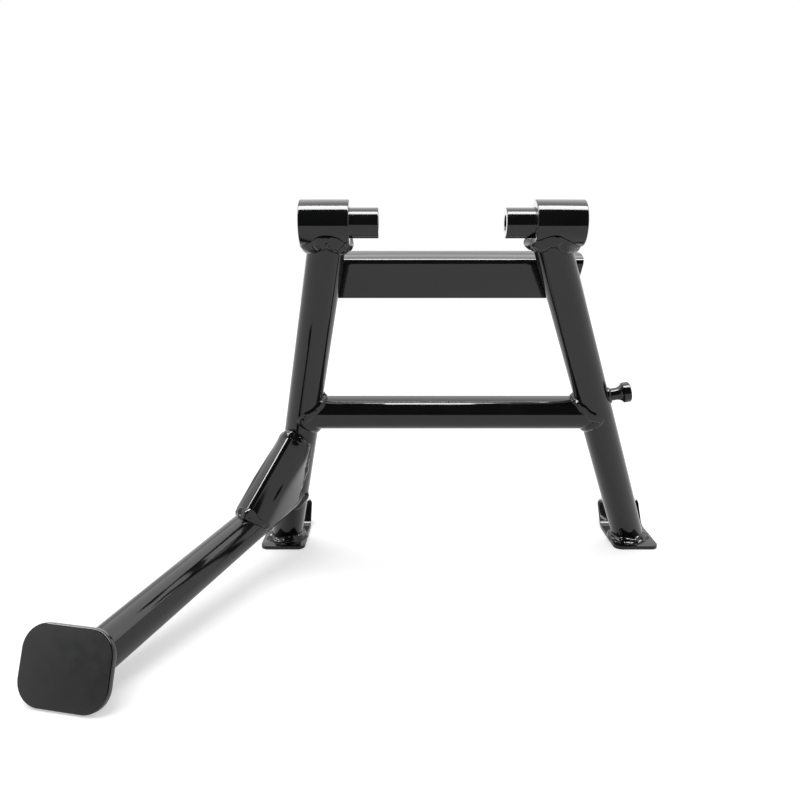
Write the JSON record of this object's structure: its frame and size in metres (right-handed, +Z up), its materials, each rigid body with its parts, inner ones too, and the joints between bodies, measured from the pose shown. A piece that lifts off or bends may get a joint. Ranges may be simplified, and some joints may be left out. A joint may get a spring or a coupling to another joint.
{
  "type": "motorcycle centre stand",
  "caption": "Welded tubular centre stand with pivot bosses and sleeves, cross tube, folded cross plate, foot plates and a foot lever with a pedal.",
  "frame": {"origin": "middle of the pivot axis, halfway between the two sleeves", "axes": "+X along the pivot axis towards the leg that carries the spring post, +Y towards the heels of the feet, +Z up; the stand rests on its feet and its pedal's edge"},
  "size_m": [0.5404, 0.3622, 0.351],
  "materials": {
    "gloss_black_paint": "gloss",
    "satin_black_paint": "satin",
    "pivot_steel": "black oxide, machined ends bright"
  },
  "bodies": {
    "stand": {"left_leg_tube": "gloss_black_paint", "right_leg_tube": "gloss_black_paint", "left_pivot_boss": "gloss_black_paint", "right_pivot_boss": "gloss_black_paint", "upper_cross_plate": "gloss_black_paint", "lower_cross_tube": "gloss_black_paint", "left_foot_plate": "gloss_black_paint", "right_foot_plate": "gloss_black_paint", "lever_tube": "gloss_black_paint", "lever_saddle": "gloss_black_paint", "spring_post": "gloss_black_paint", "left_boss_weld": "gloss_black_paint", "right_boss_weld": "gloss_black_paint", "left_plate_weld": "gloss_black_paint", "right_plate_weld": "gloss_black_paint", "left_cross_weld": "gloss_black_paint", "right_cross_weld": "gloss_black_paint", "left_foot_weld": "gloss_black_paint", "right_foot_weld": "gloss_black_paint", "lever_root_weld": "gloss_black_paint", "saddle_leg_weld": "gloss_black_paint", "saddle_lever_weld": "gloss_black_paint", "pedal_weld": "gloss_black_paint", "spring_post_weld": "gloss_black_paint", "pedal_plate": "satin_black_paint"},
    "left_sleeve": {"left_pivot_sleeve": "pivot_steel"},
    "right_sleeve": {"right_pivot_sleeve": "pivot_steel"}
  },
  "joints": [
    {"name": "left_sleeve_turn", "type": "hinge", "parent": "stand", "child": "left_sleeve", "pos_m": [-0.085, 0, 0], "axis": [1, 0, 0], "continuous": true},
    {"name": "right_sleeve_turn", "type": "hinge", "parent": "stand", "child": "right_sleeve", "pos_m": [0.085, 0, 0], "axis": [1, 0, 0], "continuous": true}
  ]
}
